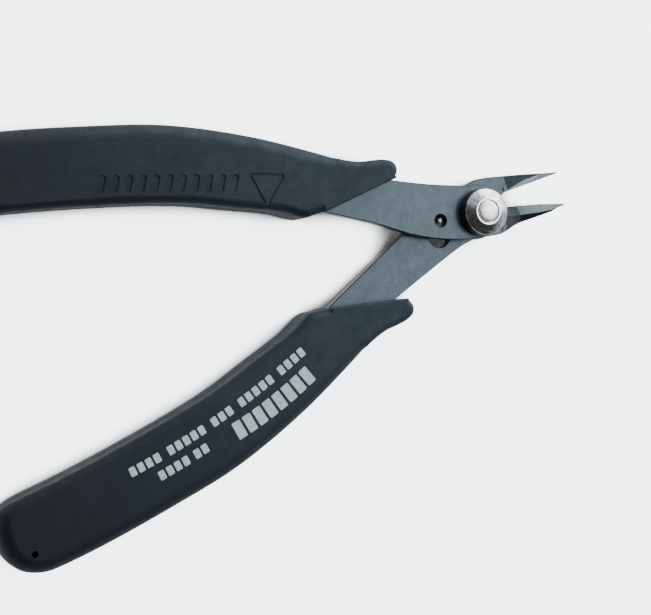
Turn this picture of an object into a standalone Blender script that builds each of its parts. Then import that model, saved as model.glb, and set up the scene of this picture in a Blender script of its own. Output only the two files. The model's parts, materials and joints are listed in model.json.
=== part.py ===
"""A lap-jointed micro flush cutter: two stamped blades, a riveted pivot, a wire
return spring and two moulded sleeves. The tool lies on its back, jaws to +X, open.

Design lengths are in millimetres and become metres when a mesh is made. Each half
is drawn closed, in its own frame: the pivot axis is the origin, the tip of the jaw
lies on +X, the handle runs to -X, and z = 0 is the plane between the two blades.
"""

import math

import bmesh
import bpy
from mathutils import Vector

MM = 0.001
RUN_STEPS = 5  # points to each stretch of a smooth outline

# Motion
OPENING_DEG = 17.0  # between the cutting edges when the spring holds the tool open

# Fits
LAP_GAP = 0.3  # between the two blades, and under each head
SLEEVE_FIT = 0.2  # round the tang, inside the sleeve
HOLE_FIT = 0.3  # radial, round the wire and the pivot
EDGE_FIT = 0.06  # each cutting edge keeps this far from the line where they meet

# Blades
PLATE = 2.0
BOSS_RADIUS = 5.0
BOSS_STEP_FIT = 0.4  # between one boss and the step that runs round it
TANG_LENGTH = 60.0  # inside the sleeve
TANG_SHOULDER = 1.1
TANG_END_WIDTH = 7.2
TANG_END_CORNER = 2.0
RELIEF_DEPTH = 0.15  # the rear blade is coined thinner round the pivot
RELIEF_BACK = 5.85  # pivot axis to the step where that begins

# Jaws
JAW_REACH = 20.5  # pivot axis to tip
JAW_ROOT = 8.2  # pivot axis to where the ground facets begin
EDGE_TURN_DEG = 5.1  # the cutting line turns this much off the tool's axis
TIP_WIDTH = 0.3
TIP_DROP = -0.08  # of the tip from the tool's axis
TIP_THICKNESS = 0.35
EDGE_LAND = 0.12  # left square under each ground bevel
REAR_JAW_WIDTH = 3.3
FRONT_JAW_WIDTH = 3.7
SLOPE_RUN = 4.5  # the front blade comes down past the rear boss over this length
JAW_SUNK = 0.05  # each jaw starts this far below the face that it joins

# Pivot
SHANK_RADIUS = 2.4
HEAD_RADIUS = 4.6
HEAD_HEIGHT = 1.3
WASHER_RADIUS = 4.5
WASHER_HEIGHT = 1.0
COLLAR_RADIUS = 4.4
COLLAR_WALL = 1.1
COLLAR_CONE = 0.9
COLLAR_RING_RADIUS = 2.55
COLLAR_RING_WIDTH = 0.3
COLLAR_RECESS = 0.55
END_RADIUS = 1.7
DOME_RADIUS = 2.0
DOME_HEIGHT = 0.75
DOME_RIM = 0.2  # straight side under the dome
HEAD_CHAMFER = 0.4
WASHER_CHAMFER = 0.15
COLLAR_CHAMFER = 0.1

# Spring
WIRE_RADIUS = 0.5
WIRE_BEND = 1.2
ANCHOR_BACK = 47.0
ANCHOR_OUT = 12.0
SPRING_HOLE_RADIUS = 1.2
SPRING_HOLE_BACK = 8.7
SPRING_HOLE_OUT = -0.6
WINDOW_RADIUS = 2.2
WINDOW_BACK = 0.3  # the window lies this much further from the pivot than the wire
HOOK_SHORT = 0.35  # the hooked end stops this far below the front face
ANCHOR_SHORT = 0.4  # the anchored end stops this far inside its blind side
GROOVE_START = 12.0  # hooked end to where the sleeve's channel for the wire begins
GROOVE_DEPTH = 0.5  # of that channel above the back of the tang

# Sleeves
SLEEVE_LENGTH = 88.0
SLEEVE_THICKNESS = 9.4
SLEEVE_FRONT = 16.9  # pivot axis to the lip of the front sleeve
REAR_SLEEVE_SLIDE = 4.1  # the rear sleeve sits this much further back on its tang
MOUTH_RUN = 14.9
MOUTH_OUT = 8.35
MOUTH_IN = 3.6
RIM_OUTER = 2.8
RIM_INNER = 1.6
RIM_LIP = 1.4
RIM_MOUTH = 0.3
RIM_MIDDLE = 13.3  # out from the axis, where the rim changes from inner to outer
RIM_LIP_RUN = 0.2  # share of the length over which the rim grows from the lip
RIM_END_RUN = 8.0  # the inner rim grows to the outer one over this length at the end
PIN_HOLE_RADIUS = 0.6
PIN_HOLE_DEPTH = 3.0
PIN_HOLE_FROM_END = 4.7
PIN_HOLE_OUT = 19.4

# Levels, all measured from the plane between the blades
HALF_GAP = LAP_GAP / 2
FACE = HALF_GAP + PLATE
WIRE_LEVEL = -(FACE + HALF_GAP + WIRE_RADIUS)
WASHER_LEVEL = FACE + HALF_GAP
COLLAR_LEVEL = WASHER_LEVEL + WASHER_HEIGHT + HALF_GAP
RIM_LEVEL = COLLAR_LEVEL + COLLAR_WALL
RING_LEVEL = RIM_LEVEL + COLLAR_CONE

FRONT = 1  # handle on the +Y side
REAR = -1  # handle on the -Y side


def clear_scene():
    for old in list(bpy.data.objects):
        bpy.data.objects.remove(old)


def material(name, colour, roughness, metallic):
    made = bpy.data.materials.new(name)
    made.use_nodes = True
    shader = made.node_tree.nodes["Principled BSDF"]
    shader.inputs["Base Color"].default_value = (*colour, 1.0)
    shader.inputs["Roughness"].default_value = roughness
    shader.inputs["Metallic"].default_value = metallic
    return made


def add_object(name, mesh, parent, look=None):
    made = bpy.data.objects.new(name, mesh)
    bpy.context.scene.collection.objects.link(made)
    made.parent = parent
    if look:
        mesh.materials.append(look)
    return made


def smooth_run(points, steps=RUN_STEPS):
    """Points of a Catmull-Rom curve that passes through the given ones."""
    ends = (points[0], *points, points[-1])
    run = []
    for i in range(len(points) - 1):
        before, start, end, after = ends[i : i + 4]
        for step in range(steps):
            t = step / steps
            run.append(
                tuple(
                    b
                    + 0.5 * (c - a) * t
                    + (a - 2.5 * b + 2 * c - 0.5 * d) * t**2
                    + 0.5 * (3 * b - a - 3 * c + d) * t**3
                    for a, b, c, d in zip(before, start, end, after)
                )
            )
    return [*run, points[-1]]


def arc(centre, radius, start_deg, end_deg, steps):
    turn = math.radians(end_deg - start_deg) / steps
    first = math.radians(start_deg)
    return [
        (centre[0] + radius * math.cos(first + turn * i), centre[1] + radius * math.sin(first + turn * i))
        for i in range(steps + 1)
    ]


def offset_outline(outline, distances):
    """The anticlockwise outline moved outwards by one distance per point."""
    moved = []
    count = len(outline)
    for i, here in enumerate(outline):
        before = Vector(here) - Vector(outline[i - 1])
        after = Vector(outline[(i + 1) % count]) - Vector(here)
        first = Vector((before.y, -before.x)).normalized()
        second = Vector((after.y, -after.x)).normalized()
        middle = (first + second).normalized()
        reach = distances[i] / max(middle.dot(first), 0.5)
        moved.append((here[0] + middle.x * reach, here[1] + middle.y * reach))
    return moved


def anticlockwise(outline):
    doubled = sum(a[0] * b[1] - b[0] * a[1] for a, b in zip(outline, outline[1:] + outline[:1]))
    return outline if doubled > 0 else outline[::-1]


def rings_mesh(name, rings):
    """A closed mesh through a stack of equal rings, capped at both ends."""
    shape = bmesh.new()
    loops = [[shape.verts.new(Vector(point) * MM) for point in ring] for ring in rings]
    for lower, upper in zip(loops, loops[1:]):
        for i in range(len(lower)):
            j = (i + 1) % len(lower)
            shape.faces.new((lower[i], lower[j], upper[j], upper[i]))
    shape.faces.new(loops[0][::-1])
    shape.faces.new(loops[-1])
    bmesh.ops.recalc_face_normals(shape, faces=shape.faces)
    mesh = bpy.data.meshes.new(name)
    shape.to_mesh(mesh)
    shape.free()
    return mesh


def prism_mesh(name, outline, low, high):
    flat = anticlockwise(outline)
    return rings_mesh(name, [[(x, y, z) for x, y in flat] for z in (low, high)])


def turned_mesh(name, profile, steps=40):
    """A solid turned about Z from (radius, z) points that start and end on the axis."""
    shape = bmesh.new()
    points = [shape.verts.new(Vector((radius, 0.0, z)) * MM) for radius, z in profile]
    edges = [shape.edges.new(pair) for pair in zip(points, points[1:])]
    bmesh.ops.spin(shape, geom=points + edges, cent=(0, 0, 0), axis=(0, 0, 1), angle=math.tau, steps=steps)
    bmesh.ops.remove_doubles(shape, verts=shape.verts, dist=0.01 * MM)
    bmesh.ops.recalc_face_normals(shape, faces=shape.faces)
    mesh = bpy.data.meshes.new(name)
    shape.to_mesh(mesh)
    shape.free()
    return mesh


def drill_mesh(name, centre, radius, low, high, steps=24):
    return prism_mesh(name, arc(centre, radius, 0, 360 * (steps - 1) / steps, steps - 1), low, high)


def combine(target, mesh, operation):
    """Joins or cuts the target with a helper solid that stays out of the model."""
    helper = add_object(mesh.name, mesh, target.parent)
    helper.hide_render = True
    helper.display_type = "WIRE"
    modifier = target.modifiers.new(mesh.name, "BOOLEAN")
    modifier.operation = operation
    modifier.object = helper
    return helper


def placed(points, side):
    """(back, out) points of a half as x, y in its own frame."""
    return [(-back, side * out) for back, out in points]


# Sleeve and tang, as (back from the lip, out from the tool's axis)


def sleeve_run():
    """The sleeve's outline from the outer corner of its mouth round to the inner one."""
    long = SLEEVE_LENGTH
    points = [
        (0.7, MOUTH_OUT),
        (0.1, MOUTH_OUT + 1.7),
        (0.8, MOUTH_OUT + 3.1),
        (2.5, MOUTH_OUT + 3.7),
        (0.055 * long, MOUTH_OUT + 3.8),
        (0.085 * long, MOUTH_OUT + 3.8),
        (0.126 * long, MOUTH_OUT + 4.6),
        (0.171 * long, MOUTH_OUT + 6.15),
        (0.223 * long, MOUTH_OUT + 7.85),
        (0.305 * long, 18.6),
        (0.410 * long, 21.0),
        (0.517 * long, 22.7),
        (0.644 * long, 23.5),
        (0.786 * long, 24.0),
        (0.899 * long, 23.9),
        (long - 4.8, 23.3),
        (long - 1.8, 21.5),
        (long - 0.4, 19.1),
        (long, 16.6),
        (long - 0.4, 13.4),
        (long - 1.8, 10.9),
        (long - 4.8, 9.8),
        (0.827 * long, 9.8),
        (0.706 * long, 9.5),
        (0.568 * long, 8.8),
        (0.467 * long, 7.85),
        (0.375 * long, 6.25),
        (0.278 * long, MOUTH_IN + 1.0),
        (0.239 * long, MOUTH_IN - 0.3),
        (MOUTH_RUN + 4.4, MOUTH_IN - 0.7),
        (MOUTH_RUN + 2.7, MOUTH_IN - 0.35),
        (MOUTH_RUN + 0.7, MOUTH_IN),
    ]
    return smooth_run(points)


def tang_run(mouth_outer, mouth_inner):
    """The tang inside the sleeve, from the blade's outer edge round to its inner edge."""
    long = TANG_LENGTH
    half_end = TANG_END_WIDTH / 2
    middle = 16.2
    corner = TANG_END_CORNER
    outer = (
        mouth_outer,
        (0.11 * long, 9.3),
        (0.25 * long, 11.6),
        (0.41 * long, 14.8),
        (0.60 * long, 17.5),
        (0.80 * long, 19.2),
        (long - corner, middle + half_end),
    )
    inner = (
        (long - corner, middle - half_end),
        (0.82 * long, 12.3),
        (0.62 * long, 10.2),
        (0.46 * long, 8.1),
        (0.35 * long, 6.4),
        (mouth_inner[0], mouth_inner[1] + TANG_SHOULDER),
    )
    end = [(long, middle + half_end - corner), (long, middle - half_end + corner)]
    return [*smooth_run(outer), *end, *smooth_run(inner), mouth_inner]


def from_lip(points, side):
    slide = SLEEVE_FRONT + (REAR_SLEEVE_SLIDE if side == REAR else 0.0)
    return [(back + slide, out) for back, out in points]


def sleeve_rim_radii(outline_back_out):
    """How round the sleeve's rim is at each point: full outside, tighter inside and at the lip."""
    radii = []
    for back, out in outline_back_out:
        towards_end = min(back / (RIM_LIP_RUN * SLEEVE_LENGTH), 1.0)
        at_end = max(0.0, 1.0 - (SLEEVE_LENGTH - back) / RIM_END_RUN)
        outside = 1.0 if out > RIM_MIDDLE else at_end
        full = RIM_INNER + (RIM_OUTER - RIM_INNER) * outside
        radii.append(RIM_LIP + (full - RIM_LIP) * towards_end)
    radii[0] = RIM_MOUTH
    radii[-1] = RIM_MOUTH
    return radii


def sleeve_mesh(name, side):
    """A flat pad with rounded rims: one ring of points per step of the rounding."""
    run = sleeve_run()
    outline = placed(from_lip(run, side), side)
    radii = sleeve_rim_radii(run)
    if anticlockwise(outline) is not outline:
        outline = outline[::-1]
        radii = radii[::-1]
    half = SLEEVE_THICKNESS / 2
    steps = 6
    upper = []
    for step in range(steps + 1):
        turn = math.pi / 2 * step / steps
        inset = offset_outline(outline, [-radius * (1 - math.cos(turn)) for radius in radii])
        upper.append([(x, y, half - r * (1 - math.sin(turn))) for (x, y), r in zip(inset, radii)])
    lower = [[(x, y, -z) for x, y, z in ring] for ring in reversed(upper)]
    return rings_mesh(name, lower + upper)


def sleeve(name, side, parent, tang_outline, low, high, look):
    made = add_object(name, sleeve_mesh(name, side), parent, look)
    pocket = offset_outline(anticlockwise(tang_outline), [SLEEVE_FIT] * len(tang_outline))
    combine(made, prism_mesh(name + "_pocket", pocket, low - SLEEVE_FIT, high + SLEEVE_FIT), "DIFFERENCE")
    pin = placed(from_lip([(SLEEVE_LENGTH - PIN_HOLE_FROM_END, PIN_HOLE_OUT)], side), side)[0]
    surface = -side * SLEEVE_THICKNESS / 2
    levels = sorted((surface + side * PIN_HOLE_DEPTH, surface - side))
    combine(made, drill_mesh(name + "_pin_hole", pin, PIN_HOLE_RADIUS, *levels), "DIFFERENCE")
    return made


# Blades


def edge_point(along, out, side):
    """A point by its distance back from the tip along the cutting line and out from it."""
    turn = math.radians(EDGE_TURN_DEG)
    x = JAW_REACH - along * math.cos(turn) - side * out * math.sin(turn)
    y = TIP_DROP + along * math.sin(turn) - side * out * math.cos(turn)
    return x, y


def jaw_mesh(name, side, stations):
    """Sections across the jaw, root to tip: along, then out and up of its edge, ridge and outside."""
    rings = []
    for along, edge_out, edge_up, ridge_out, ridge_up, outer_out, outer_up in stations:
        section = (
            (edge_out, 0.0),
            (edge_out, edge_up),
            (ridge_out, ridge_up),
            (outer_out, outer_up),
            (outer_out, 0.0),
        )
        rings.append([(*edge_point(along, out, side), up - FACE) for out, up in section])
    return rings_mesh(name, rings)


def front_blade_outline():
    """The flat of the front blade, anticlockwise in (x, y), and its tang for the sleeve's pocket."""
    mouth_outer = (1.0, MOUTH_OUT - 0.2)
    mouth_inner = (MOUTH_RUN + 0.4, MOUTH_IN)
    tang = placed(from_lip(tang_run(mouth_outer, mouth_inner), FRONT), FRONT)
    boss = BOSS_RADIUS + BOSS_STEP_FIT
    outer_edge = smooth_run([(-2.6, 5.45), (-6.6, 6.0), (-11.5, 6.8), tang[0]])
    round_boss = arc((0, 0), boss, -42, 100, 16)
    inner = (tang[-1], (-22.3, 0.4), (-15.1, -2.5), (-9.4, -4.0), (-4.0, -4.7), (2.0, -4.7), (4.2, -4.5))
    inner_edge = smooth_run(inner)
    outline = [*inner_edge, *round_boss, *outer_edge[:-1], *tang]
    return outline[:-1], tang


def rear_blade_outline():
    """The flat of the rear blade, in (x, y), and its tang for the sleeve's pocket."""
    mouth_outer = (0.9, MOUTH_OUT - 0.4)
    mouth_inner = (MOUTH_RUN - 0.3, MOUTH_IN + 0.35)
    tang = placed(from_lip(tang_run(mouth_outer, mouth_inner), REAR), REAR)
    outer_edge = smooth_run([(-2.4, -4.4), (-5.8, -4.6), (-10.8, -5.55), tang[0]])
    root_outer = edge_point(JAW_REACH - JAW_ROOT, REAR_JAW_WIDTH, REAR)
    root_inner = edge_point(JAW_REACH - JAW_ROOT + 0.9, EDGE_FIT + 0.9, REAR)
    throat = edge_point(JAW_REACH - JAW_ROOT + 1.0, EDGE_FIT, REAR)
    inner = (tang[-1], (-16.9, 2.15), (-10.0, 4.25), (-4.0, 5.4), (0.4, 5.75), (3.6, 5.8), root_outer)
    inner_edge = smooth_run(inner)
    shoulder = smooth_run([root_outer, (root_outer[0] - 0.1, root_outer[1] - 1.2), root_inner])
    round_boss = arc((0, 0), BOSS_RADIUS, 8, -118, 14)
    outline = [*inner_edge[:-1], *shoulder, throat, *round_boss, *outer_edge[:-1], *tang]
    return outline[:-1], tang


def front_blade(parent, look):
    outline, tang = front_blade_outline()
    made = add_object("front_blade", prism_mesh("front_blade", outline, HALF_GAP, FACE), parent, look)
    jaw = combine(made, front_jaw_mesh(), "UNION")
    step_radius = BOSS_RADIUS + BOSS_STEP_FIT
    step = drill_mesh("boss_step", (0, 0), step_radius, -FACE - 1, HALF_GAP + JAW_SUNK, 48)
    combine(jaw, step, "DIFFERENCE")
    bore = SHANK_RADIUS + HOLE_FIT
    combine(made, drill_mesh("front_bore", (0, 0), bore, 0, FACE + 1, 32), "DIFFERENCE")
    hole = placed([(SPRING_HOLE_BACK, SPRING_HOLE_OUT)], FRONT)[0]
    combine(made, drill_mesh("spring_hole", hole, SPRING_HOLE_RADIUS, 0, FACE + 1), "DIFFERENCE")
    return made, tang


def front_jaw_mesh():
    """The jaw with the slope that brings the front blade down past the rear boss."""
    slope_top = JAW_REACH - (BOSS_RADIUS + BOSS_STEP_FIT)
    slope_foot = slope_top - SLOPE_RUN
    top = 2 * PLATE + LAP_GAP - JAW_SUNK
    ridge = PLATE - 0.2
    wide = FRONT_JAW_WIDTH
    stations = (
        (slope_top + 1.0, 1.6, top, 2.6, top, wide + 2.1, top),
        (slope_top, 1.3, top, 2.6, top, wide + 1.75, top),
        (slope_top - 0.55 * SLOPE_RUN, 0.5, EDGE_LAND, 2.4, ridge + 1.0, wide + 0.7, ridge + 0.5),
        (slope_foot, 0.3, EDGE_LAND, 2.2, ridge, wide, ridge - 0.6),
        (8.5, 0.2, EDGE_LAND, 2.0, 0.85 * ridge, 0.85 * wide, 0.55 * ridge),
        (5.8, EDGE_FIT, EDGE_LAND, 1.7, 0.65 * ridge, 0.64 * wide, 0.45 * ridge),
        (3.1, EDGE_FIT, EDGE_LAND, 1.25, 0.8, 1.6, 0.6),
        (1.7, EDGE_FIT, EDGE_LAND, 0.6, 0.5, 0.85, 0.4),
        (0.0, EDGE_FIT, EDGE_LAND, TIP_WIDTH * 0.5, TIP_THICKNESS, TIP_WIDTH, TIP_THICKNESS - 0.05),
    )
    return jaw_mesh("front_jaw", FRONT, stations)


def rear_blade(parent, look):
    outline, tang = rear_blade_outline()
    made = add_object("rear_blade", prism_mesh("rear_blade", outline, -FACE, -HALF_GAP), parent, look)
    combine(made, lap_relief_mesh(), "DIFFERENCE")
    combine(made, rear_jaw_mesh(), "UNION")
    bore = SHANK_RADIUS + HOLE_FIT
    combine(made, drill_mesh("rear_bore", (0, 0), bore, -FACE - 1, 0, 32), "DIFFERENCE")
    combine(made, window_mesh(), "DIFFERENCE")
    anchor = placed([(ANCHOR_BACK, ANCHOR_OUT)], REAR)[0]
    combine(made, drill_mesh("anchor_hole", anchor, WIRE_RADIUS + HOLE_FIT, -FACE - 1, 0, 16), "DIFFERENCE")
    return made, tang


def lap_relief_mesh():
    """Takes the front face of the rear blade down, from a straight step to the jaw."""
    wide = 2 * BOSS_RADIUS
    ahead = JAW_REACH + 1
    outline = [(-RELIEF_BACK, -wide), (ahead, -wide), (ahead, wide), (-RELIEF_BACK, wide)]
    return prism_mesh("lap_relief", outline, -HALF_GAP - RELIEF_DEPTH, HALF_GAP)


def rear_jaw_mesh():
    root = JAW_REACH - JAW_ROOT
    thick = PLATE - RELIEF_DEPTH - JAW_SUNK
    stations = (
        (root + 0.8, EDGE_FIT, EDGE_LAND, 0.5, thick, REAR_JAW_WIDTH, thick),
        (root, EDGE_FIT, EDGE_LAND, 0.5, thick, REAR_JAW_WIDTH, thick),
        (7.9, EDGE_FIT, EDGE_LAND, 1.15, 1.25, 2.3, 1.05),
        (3.9, EDGE_FIT, EDGE_LAND, 1.05, 0.8, 1.25, 0.65),
        (0.0, EDGE_FIT, EDGE_LAND, TIP_WIDTH * 0.5, TIP_THICKNESS, TIP_WIDTH, TIP_THICKNESS - 0.05),
    )
    return jaw_mesh("rear_jaw", REAR, stations)


def spring_end(closing_deg):
    """Where the wire's end stands in the rear half's frame, this far from open."""
    turn = math.radians(closing_deg - OPENING_DEG)
    x, y = placed([(SPRING_HOLE_BACK, SPRING_HOLE_OUT)], FRONT)[0]
    return x * math.cos(turn) - y * math.sin(turn), x * math.sin(turn) + y * math.cos(turn)


def window_mesh():
    """The slot in the rear blade that the wire's end travels in; its inner end is the open stop."""
    open_end = spring_end(0.0)
    closed_end = spring_end(OPENING_DEG)
    stop = open_end[1] + WIRE_RADIUS + HALF_GAP
    top = (open_end[0] - WINDOW_BACK, stop - WINDOW_RADIUS)
    bottom = (closed_end[0] - WINDOW_BACK, closed_end[1] - HOLE_FIT)
    outline = [*arc(top, WINDOW_RADIUS, 0, 180, 12), *arc(bottom, WINDOW_RADIUS, 180, 360, 12)]
    return prism_mesh("window", outline, -FACE - 1, 0)


# Pivot and spring


def pivot_screw(parent, look):
    """Flat head at the back, shank through both blades, end peened over the collar."""
    head_top = -(FACE + HALF_GAP)
    shoulder = FACE
    recess = RING_LEVEL - COLLAR_RECESS + HALF_GAP
    profile = [
        (0.0, head_top - HEAD_HEIGHT),
        (HEAD_RADIUS - HEAD_CHAMFER, head_top - HEAD_HEIGHT),
        (HEAD_RADIUS, head_top - HEAD_HEIGHT + HEAD_CHAMFER),
        (HEAD_RADIUS, head_top),
        (SHANK_RADIUS, head_top),
        (SHANK_RADIUS, shoulder),
        (END_RADIUS, shoulder),
        (END_RADIUS, recess),
        (DOME_RADIUS, recess),
        (DOME_RADIUS, recess + DOME_RIM),
    ]
    dome = DOME_HEIGHT - DOME_RIM
    steps = 5
    for step in range(1, steps):
        turn = math.pi / 2 * step / steps
        profile.append((DOME_RADIUS * math.cos(turn), recess + DOME_RIM + dome * math.sin(turn)))
    profile.append((0.0, recess + DOME_HEIGHT))
    return add_object("pivot_screw", turned_mesh("pivot_screw", profile), parent, look)


def ring_mesh(name, profile, steps=40):
    """A solid turned about Z from a closed (radius, z) outline that stays off the axis."""
    flat = anticlockwise(profile)
    shape = bmesh.new()
    loops = []
    for step in range(steps):
        turn = math.tau * step / steps
        section = [Vector((radius * math.cos(turn), radius * math.sin(turn), z)) for radius, z in flat]
        loops.append([shape.verts.new(point * MM) for point in section])
    for step, loop in enumerate(loops):
        following = loops[(step + 1) % steps]
        for i in range(len(loop)):
            j = (i + 1) % len(loop)
            shape.faces.new((loop[i], loop[j], following[j], following[i]))
    bmesh.ops.recalc_face_normals(shape, faces=shape.faces)
    mesh = bpy.data.meshes.new(name)
    shape.to_mesh(mesh)
    shape.free()
    return mesh


def pivot_washer(parent, look):
    bore = END_RADIUS + HOLE_FIT
    profile = [
        (bore, WASHER_LEVEL),
        (WASHER_RADIUS - WASHER_CHAMFER, WASHER_LEVEL),
        (WASHER_RADIUS, WASHER_LEVEL + WASHER_CHAMFER),
        (WASHER_RADIUS, WASHER_LEVEL + WASHER_HEIGHT - WASHER_CHAMFER),
        (WASHER_RADIUS - WASHER_CHAMFER, WASHER_LEVEL + WASHER_HEIGHT),
        (bore, WASHER_LEVEL + WASHER_HEIGHT),
    ]
    return add_object("pivot_washer", ring_mesh("pivot_washer", profile), parent, look)


def pivot_collar(parent, look):
    """A flanged nut: low side wall, conical face, raised ring round the recess of the peened end."""
    bore = END_RADIUS + HOLE_FIT
    ring_inner = COLLAR_RING_RADIUS - COLLAR_RING_WIDTH
    profile = [
        (bore, COLLAR_LEVEL),
        (COLLAR_RADIUS, COLLAR_LEVEL),
        (COLLAR_RADIUS, RIM_LEVEL - COLLAR_CHAMFER),
        (COLLAR_RADIUS - COLLAR_CHAMFER, RIM_LEVEL),
        (COLLAR_RING_RADIUS + COLLAR_CHAMFER, RING_LEVEL - COLLAR_CHAMFER),
        (COLLAR_RING_RADIUS, RING_LEVEL),
        (ring_inner, RING_LEVEL),
        (ring_inner, RING_LEVEL - COLLAR_RECESS),
        (bore, RING_LEVEL - COLLAR_RECESS),
    ]
    return add_object("pivot_collar", ring_mesh("pivot_collar", profile), parent, look)


def bent_end(corner, towards, level, up):
    """Points of a wire that comes along from `towards`, turns at the corner and rises to `up`."""
    along = (Vector(towards) - Vector(corner)).normalized()
    steps = 4
    points = [(*corner, up)]
    for step in range(steps + 1):
        turn = math.pi / 2 * step / steps
        reach = WIRE_BEND * (1 - math.cos(turn))
        height = level + WIRE_BEND * (1 - math.sin(turn))
        points.append((corner[0] + along.x * reach, corner[1] + along.y * reach, height))
    return points


def spring_points():
    hooked = spring_end(0.0)
    anchor = placed([(ANCHOR_BACK, ANCHOR_OUT)], REAR)[0]
    first = bent_end(hooked, anchor, WIRE_LEVEL, FACE - HOOK_SHORT)
    last = bent_end(anchor, hooked, WIRE_LEVEL, -HALF_GAP - ANCHOR_SHORT)[::-1]
    runs = 8
    straight = []
    for i in range(1, runs):
        share = i / runs
        straight.append(tuple(a + (b - a) * share for a, b in zip(first[-1], last[0])))
    return [*first, *straight, *last]


def return_spring(parent, look):
    curve = bpy.data.curves.new("return_spring", "CURVE")
    curve.dimensions = "3D"
    curve.bevel_depth = WIRE_RADIUS * MM
    curve.bevel_resolution = 3
    curve.use_fill_caps = True
    points = spring_points()
    spline = curve.splines.new("POLY")
    spline.points.add(len(points) - 1)
    for knot, point in zip(spline.points, points):
        knot.co = (*(Vector(point) * MM), 1.0)
    return add_object("return_spring", curve, parent, look)


def wire_groove_mesh():
    """The channel that the wire lies in, behind the tang."""
    hooked = Vector(spring_end(0.0))
    anchor = Vector(placed([(ANCHOR_BACK, ANCHOR_OUT)], REAR)[0])
    along = (anchor - hooked).normalized()
    across = Vector((-along.y, along.x))
    half = 2 * WIRE_RADIUS + HOLE_FIT
    start = hooked + along * GROOVE_START
    end = anchor + along * (WIRE_RADIUS + 2 * HOLE_FIT)
    corners = (start + across * half, end + across * half, end - across * half, start - across * half)
    low = WIRE_LEVEL - WIRE_RADIUS - HOLE_FIT
    return prism_mesh("wire_groove", [tuple(corner) for corner in corners], low, GROOVE_DEPTH - FACE)


# Assembly


def half_frame(name, side, root):
    """An empty on the pivot axis, turned to where the spring holds this half open."""
    frame = bpy.data.objects.new(name, None)
    bpy.context.scene.collection.objects.link(frame)
    frame.parent = root
    frame.rotation_euler.z = -side * math.radians(OPENING_DEG / 2)
    return frame


def shade(made):
    if made.type != "MESH":
        return
    made.data.shade_smooth()
    made.data.set_sharp_from_angle(angle=math.radians(30))


def stand_on_origin(root, pieces):
    """Moves the tool so that the bottom centre of its bounding box is the origin."""
    bpy.context.view_layer.update()
    graph = bpy.context.evaluated_depsgraph_get()
    corners = []
    for piece in pieces:
        evaluated = piece.evaluated_get(graph)
        mesh = evaluated.to_mesh()
        corners.extend(evaluated.matrix_world @ vertex.co for vertex in mesh.vertices)
        evaluated.to_mesh_clear()
    low = Vector(map(min, zip(*corners)))
    high = Vector(map(max, zip(*corners)))
    root.location = (-(low.x + high.x) / 2, -(low.y + high.y) / 2, -low.z)


def build():
    clear_scene()
    steel = material("phosphated_steel", (0.13, 0.16, 0.18), 0.42, 0.9)
    sleeve_look = material("charcoal_elastomer", (0.025, 0.03, 0.034), 0.75, 0.0)
    bright = material("turned_steel", (0.62, 0.63, 0.65), 0.22, 1.0)
    black = material("blackened_steel", (0.03, 0.032, 0.035), 0.4, 0.7)
    wire = material("music_wire", (0.45, 0.46, 0.47), 0.3, 1.0)

    root = bpy.data.objects.new("pivot_point", None)
    bpy.context.scene.collection.objects.link(root)
    front = half_frame("front_half", FRONT, root)
    rear = half_frame("rear_half", REAR, root)

    front_made, front_tang = front_blade(front, steel)
    rear_made, rear_tang = rear_blade(rear, steel)
    front_sleeve = sleeve("front_grip", FRONT, front, front_tang, HALF_GAP, FACE, sleeve_look)
    rear_sleeve = sleeve("rear_grip", REAR, rear, rear_tang, -FACE, -HALF_GAP, sleeve_look)
    combine(rear_sleeve, wire_groove_mesh(), "DIFFERENCE")
    pieces = [
        front_made,
        rear_made,
        front_sleeve,
        rear_sleeve,
        pivot_screw(rear, bright),
        pivot_washer(rear, black),
        pivot_collar(rear, bright),
        return_spring(rear, wire),
    ]
    for piece in pieces:
        shade(piece)
    stand_on_origin(root, pieces)


build()
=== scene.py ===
import json
import math

import bmesh
import bpy
from mathutils import Matrix, Vector


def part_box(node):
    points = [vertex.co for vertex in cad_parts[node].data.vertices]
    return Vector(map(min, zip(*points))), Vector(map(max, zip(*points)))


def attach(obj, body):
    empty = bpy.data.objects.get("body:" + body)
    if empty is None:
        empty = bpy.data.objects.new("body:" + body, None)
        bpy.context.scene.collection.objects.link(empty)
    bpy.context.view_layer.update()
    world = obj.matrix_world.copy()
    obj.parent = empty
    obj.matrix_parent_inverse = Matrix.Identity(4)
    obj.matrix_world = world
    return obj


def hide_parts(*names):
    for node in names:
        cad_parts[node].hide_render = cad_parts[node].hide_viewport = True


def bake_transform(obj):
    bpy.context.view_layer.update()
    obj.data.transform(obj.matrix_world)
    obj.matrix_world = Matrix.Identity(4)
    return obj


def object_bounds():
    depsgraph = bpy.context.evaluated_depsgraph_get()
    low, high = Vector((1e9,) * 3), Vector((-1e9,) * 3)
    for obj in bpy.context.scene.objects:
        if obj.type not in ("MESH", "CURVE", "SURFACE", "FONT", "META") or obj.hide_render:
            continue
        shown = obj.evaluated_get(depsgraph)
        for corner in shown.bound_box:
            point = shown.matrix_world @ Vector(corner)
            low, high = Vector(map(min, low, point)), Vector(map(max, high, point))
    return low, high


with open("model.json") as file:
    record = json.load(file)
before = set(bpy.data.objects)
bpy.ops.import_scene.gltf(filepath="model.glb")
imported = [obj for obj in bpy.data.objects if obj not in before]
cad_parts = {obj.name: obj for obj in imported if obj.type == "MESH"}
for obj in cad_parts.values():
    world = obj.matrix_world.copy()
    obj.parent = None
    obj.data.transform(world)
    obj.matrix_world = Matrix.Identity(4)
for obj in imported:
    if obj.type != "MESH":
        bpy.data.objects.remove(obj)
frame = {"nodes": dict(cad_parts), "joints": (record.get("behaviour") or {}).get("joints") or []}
cad_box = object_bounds()


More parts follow.
